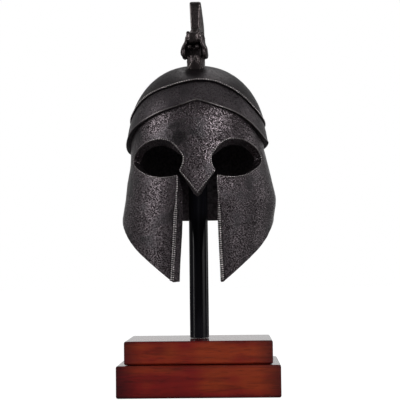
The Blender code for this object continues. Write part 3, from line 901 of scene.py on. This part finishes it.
def build_socket():
    """Round cup with six pointed leaves laid against it, and a foot that spreads to the front."""
    sides, levels, leaves = 216, 44, 6
    waist = SOCKET_DIAMETER / 2 - 0.0010
    stem = 0.35
    leaf_stand, edge_stand, leaf_hollow = 0.00050, 0.00050, 0.00025
    rings = []
    wear_and_painted_light = []
    for i in range(levels + 1):
        level = i / levels
        ring = []
        for k in range(sides):
            angle = 2 * math.pi * k / sides
            share = 1 - abs((angle / (2 * math.pi) * leaves + 0.5) % 1 - 0.5) * 2
            gap = stem + 0.59 * share - level
            wedge = share - 0.85 * max(stem - level, 0.0)
            spread = 1 + 0.72 * (1 - level) ** 3 * max(math.cos(angle), 0.0) ** 2
            radius = waist * (0.90 + 0.08 * level + 0.03 * (2 * level - 1) ** 2) * spread
            edge = math.exp(-((gap / 0.065) ** 2))
            if level < stem:
                edge = math.exp(-((wedge / 0.10) ** 2)) * 0.8
            on_leaf = gap > 0 and wedge > 0
            relief = (leaf_stand if on_leaf else 0.0) + edge * edge_stand
            if on_leaf:
                relief -= leaf_hollow * math.sin(min(gap / 0.4, 1) * math.pi) * share
            radius += relief
            x, y = radius * math.sin(angle), SOCKET_Y - radius * math.cos(angle)
            foot = crown_z(x, y, CAP_STAND + SEAT_GAP)
            ring.append((x, y, foot + (RIM_Z - foot) * level))
            plain = 0.10 if on_leaf else (0.0 if level < stem else 0.16)
            wear_and_painted_light.append(min(plain + edge * 0.9, 1.0))
        rings.append(ring)
    lip = rings[-1]
    for inset, z in ((0.93, RIM_Z + 0.0001), (0.86, RIM_Z - 0.0006), (0.80, DECK_Z), (0.25, DECK_Z)):
        rings.append([(x * inset, SOCKET_Y + (y - SOCKET_Y) * inset, z) for x, y, _ in lip])
        wear_and_painted_light += [0.5 if inset > 0.9 else 0.05] * sides
    cup = finish_mesh("socket_casting", closed_rows(rings, False), [ORNAMENT], 50)
    layer = cup.data.attributes.new("wear_and_painted_light", "FLOAT", "POINT")
    layer.data.foreach_set("value", wear_and_painted_light)
    place_piece(cup, "bronze", "crest_socket")


# The crest's flanks: a plain border, a rail with a sunk line along the foot, and strands between them
BORDER = 0.0026
RAIL = 0.0072
LINE_LOW, LINE_HIGH, LINE_INSET, LINE_DEPTH = 0.0018, 0.0062, 0.0018, 0.00035
COARSE_STRANDS, FINE_STRANDS = 170, 255
STRAND_DEPTH, STRAND_SINK = 0.00085, 0.00030
CREST_CORNER = 0.0016
NARROW, WIDER = 0.79, 0.21


def tree_of(points):
    """Search tree of places along an outline, which gives the distance to it."""
    places = [p for p, _ in even(points, 0.0003)]
    tree = kdtree.KDTree(len(places))
    for k, p in enumerate(places):
        tree.insert(p, k)
    tree.balance()
    return tree


def strand_depth(ray, place, inside, from_foot):
    """Depth of the combed strands, which divide where they spread and run out at the border and the rail."""
    angle = math.atan2(ray.y, ray.z) + 0.10 * noise.noise(place / 0.03)
    coarse, fine = (0.5 - 0.5 * math.cos(angle * count) for count in (COARSE_STRANDS, FINE_STRANDS))
    blend = min(max((ray.length - 0.095) / 0.012, 0.0), 1.0)
    depth = (coarse * (1 - blend) + fine * blend) ** 1.5
    depth *= min((inside - BORDER) / 0.0012, 1.0) * min((from_foot - RAIL) / 0.001, 1.0)
    return STRAND_DEPTH * depth + STRAND_SINK


def build_crest():
    """Tall narrow crest: plain in front and round its border, its flanks combed into a fan of strands."""
    crown = crown_z(0, 0, CAP_STAND)
    over_head = HEAD_TOP + SEAT_GAP
    top = [Vector((0, CREST_TAIL * y, crown + CREST_RISE * z)) for y, z in smooth(CREST_TOP, 8)]
    under = [Vector((0, CREST_TAIL * y, crown + CREST_RISE * z)) for y, z in smooth(CREST_UNDER, 8)]
    leave, steps = BACK_REACH * 0.78, 60
    foot = []
    for k in range(steps + 1):
        y = leave + (HEAD_BACK - leave) * k / steps
        foot.append(Vector((0, y, crown_z(0, y, CAP_STAND - SEAT_GAP))))
    step_up = [Vector((0, HEAD_BACK, over_head)), Vector((0, -CREST_FRONT, over_head))]
    outline = top[1:] + under + foot + step_up
    half = CREST_THICKNESS / 2
    bm = bmesh.new()
    skin(bm, [[bm.verts.new(p + Vector((x, 0, 0))) for p in outline] for x in (-half, half)])
    bmesh.ops.triangulate(bm, faces=[f for f in bm.faces if len(f.verts) > 4])
    made = remeshed("crest_casting", bm, 0.00058, 1)

    edge_tree = tree_of(outline + outline[:1])
    foot_tree = tree_of(foot)
    fan = Vector((0, 0.016, crown - 0.052))
    for v in made.data.vertices:
        place = Vector((0, v.co.y, v.co.z))
        inside = edge_tree.find(place)[2]
        from_foot = foot_tree.find(place)[2]
        widened = max(place.z - over_head, 0.0) / 0.026
        if place.y > 0:
            widened = max(widened, from_foot / 0.03)
        limit = half * (NARROW + WIDER * min(widened, 1.0))
        round_off = 0.0
        if inside < CREST_CORNER:
            round_off = CREST_CORNER - math.sqrt(max(CREST_CORNER ** 2 - (CREST_CORNER - inside) ** 2, 0.0))
        sunk = 0.0
        if abs(v.co.x) > half * 0.6:
            if inside > BORDER and from_foot > RAIL:
                sunk = strand_depth(place - fan, place, inside, from_foot)
            elif LINE_LOW < from_foot < LINE_HIGH and inside > LINE_INSET:
                sunk = LINE_DEPTH
        share = v.co.x / half
        v.co.x = math.copysign(abs(share) * (limit - round_off) - sunk * abs(share), share)
    made.data.shade_smooth()
    add_wear(made, 2.2, 0.08, 1)
    place_piece(made, "bronze", "crest")


def build_post():
    """Round lacquered rod with softened ends and the faint unevenness of brushed paint."""
    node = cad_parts["post"]
    places = [node.matrix_world @ v.co for v in node.data.vertices]
    (left, right), (near, far), (foot, top) = (
        (min(p[axis] for p in places), max(p[axis] for p in places)) for axis in range(3)
    )
    radius, middle_x, middle_y = (right - left) / 2, (right + left) / 2, (far + near) / 2
    sides, rows, ease, brush = 96, 160, 0.0006, 0.00004
    heights = [foot + 0.0002 * k for k in range(6)]
    heights += [foot + 0.001 + (top - foot - 0.002) * k / rows for k in range(1, rows)]
    heights += [top - 0.0002 * k for k in range(5, -1, -1)]
    rings = []
    for z in heights:
        end = min(z - foot, top - z, ease)
        soft = ease - math.sqrt(max(ease ** 2 - (ease - end) ** 2, 0.0))
        ring = []
        for k in range(sides):
            angle = 2 * math.pi * k / sides
            drag = noise.noise(Vector((math.cos(angle), math.sin(angle), z * 12))) * brush
            reach = radius - soft - 0.00005 + drag
            ring.append((middle_x + math.cos(angle) * reach, middle_y + math.sin(angle) * reach, z))
        rings.append(ring)
    made = finish_mesh("lacquered_post", closed_rows(rings, False), [BLACK])
    place_piece(made, "post_lacquer", "post")


build_shell()
build_band()
build_cap()
build_trim()
build_head()
build_socket()
build_crest()
build_post()

for name in ("base_upper", "base_lower"):
    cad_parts[name].data.materials.clear()
    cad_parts[name].data.materials.append(WOOD)

# Floor, light and camera

pale, tree, shader = nodes_of("pale_floor")
shader.inputs["Base Color"].default_value = (0.20, 0.20, 0.20, 1)
shader.inputs["Roughness"].default_value = 0.9
shader.inputs["Specular IOR Level"].default_value = 0.0
shader.inputs["Emission Color"].default_value = (1, 1, 1, 1)
ray = tree.nodes.new("ShaderNodeLightPath")
tree.links.new(ray.outputs["Is Camera Ray"], shader.inputs["Emission Strength"])
bm = bmesh.new()
bmesh.ops.create_grid(bm, x_segments=1, y_segments=1, size=6.0)
floor = finish_mesh("floor", bm, [pale])
floor.location.z = -0.0006
scene.collection.objects.link(floor)

# The studio is white to the camera and dim to the metal, with a bright wall at the back
world = bpy.data.worlds.new("studio")
scene.world = world
world.use_nodes = True
tree = world.node_tree
background = tree.nodes["Background"]
direction = tree.nodes.new("ShaderNodeTexCoord").outputs["Generated"]
parts = tree.nodes.new("ShaderNodeSeparateXYZ")
tree.links.new(direction, parts.inputs[0])
backwards = math_node(tree, "ADD", math_node(tree, "MULTIPLY", parts.outputs["Y"], 0.5), 0.5)
glow = ramp(tree, backwards, (0.30, 0.06), (0.62, 0.14), (0.960, 0.22), (0.990, 0.75))
tree.links.new(glow, background.inputs["Color"])
background.inputs["Strength"].default_value = 1.0
seen = tree.nodes.new("ShaderNodeBackground")
seen.inputs["Color"].default_value = (1, 1, 1, 1)
seen.inputs["Strength"].default_value = 1.0
ray = tree.nodes.new("ShaderNodeLightPath")
blend = tree.nodes.new("ShaderNodeMixShader")
tree.links.new(ray.outputs["Is Camera Ray"], blend.inputs["Fac"])
tree.links.new(background.outputs["Background"], blend.inputs[1])
tree.links.new(seen.outputs["Background"], blend.inputs[2])
tree.links.new(blend.outputs["Shader"], tree.nodes["World Output"].inputs["Surface"])

# Soft boxes: name, turn from the front to the right, rise, width, height, power
LAMPS = [
    ("key", 27, 24, 0.12, 0.12, 2.1),
    ("key_high", 44, 33, 0.20, 0.20, 1.5),
    ("key_low", 13, 11, 0.10, 0.24, 0.4),
    ("key_soft", 50, 30, 0.50, 0.50, 0.8),
    ("right_low", 62, -12, 0.60, 0.60, 1.5),
    ("left_strip", -66, 6, 0.20, 1.00, 2.2),
    ("left_soft", -80, 26, 0.50, 0.60, 2.9),
    ("right_back", 112, 10, 0.20, 0.90, 1.1),
    ("top", 170, 62, 0.70, 0.70, 1.5),
]
LAMP_DISTANCE = 1.1
LAMP_AIM = Vector((0, 0, 0.19))

for name, turn, rise, width, height, power in LAMPS:
    a, e = math.radians(turn), math.radians(rise)
    away = Vector((math.sin(a) * math.cos(e), -math.cos(a) * math.cos(e), math.sin(e)))
    place = LAMP_AIM + away * LAMP_DISTANCE
    data = bpy.data.lights.new(name, "AREA")
    data.shape = "RECTANGLE"
    data.size = width
    data.size_y = height
    data.energy = power
    lamp = bpy.data.objects.new(name, data)
    lamp.location = place
    lamp.rotation_euler = (LAMP_AIM - place).to_track_quat("-Z", "Y").to_euler()
    lamp.visible_camera = False
    scene.collection.objects.link(lamp)

camera_data = bpy.data.cameras.new("camera")
camera_data.lens = 112.9
camera_data.sensor_width = 36
camera_data.clip_start = 0.01
camera = bpy.data.objects.new("camera", camera_data)
pitch, yaw, roll = math.radians(3.2), math.radians(1.447), math.radians(-0.65)
look = Vector((-math.sin(yaw) * math.cos(pitch), math.cos(yaw) * math.cos(pitch), math.sin(pitch)))
camera.matrix_world = (
    Matrix.Translation((0.030, -1.120, 0.108))
    @ look.to_track_quat("-Z", "Y").to_matrix().to_4x4()
    @ Matrix.Rotation(roll, 4, "Z")
)
scene.collection.objects.link(camera)
scene.camera = camera
scene.view_settings.view_transform = "Standard"
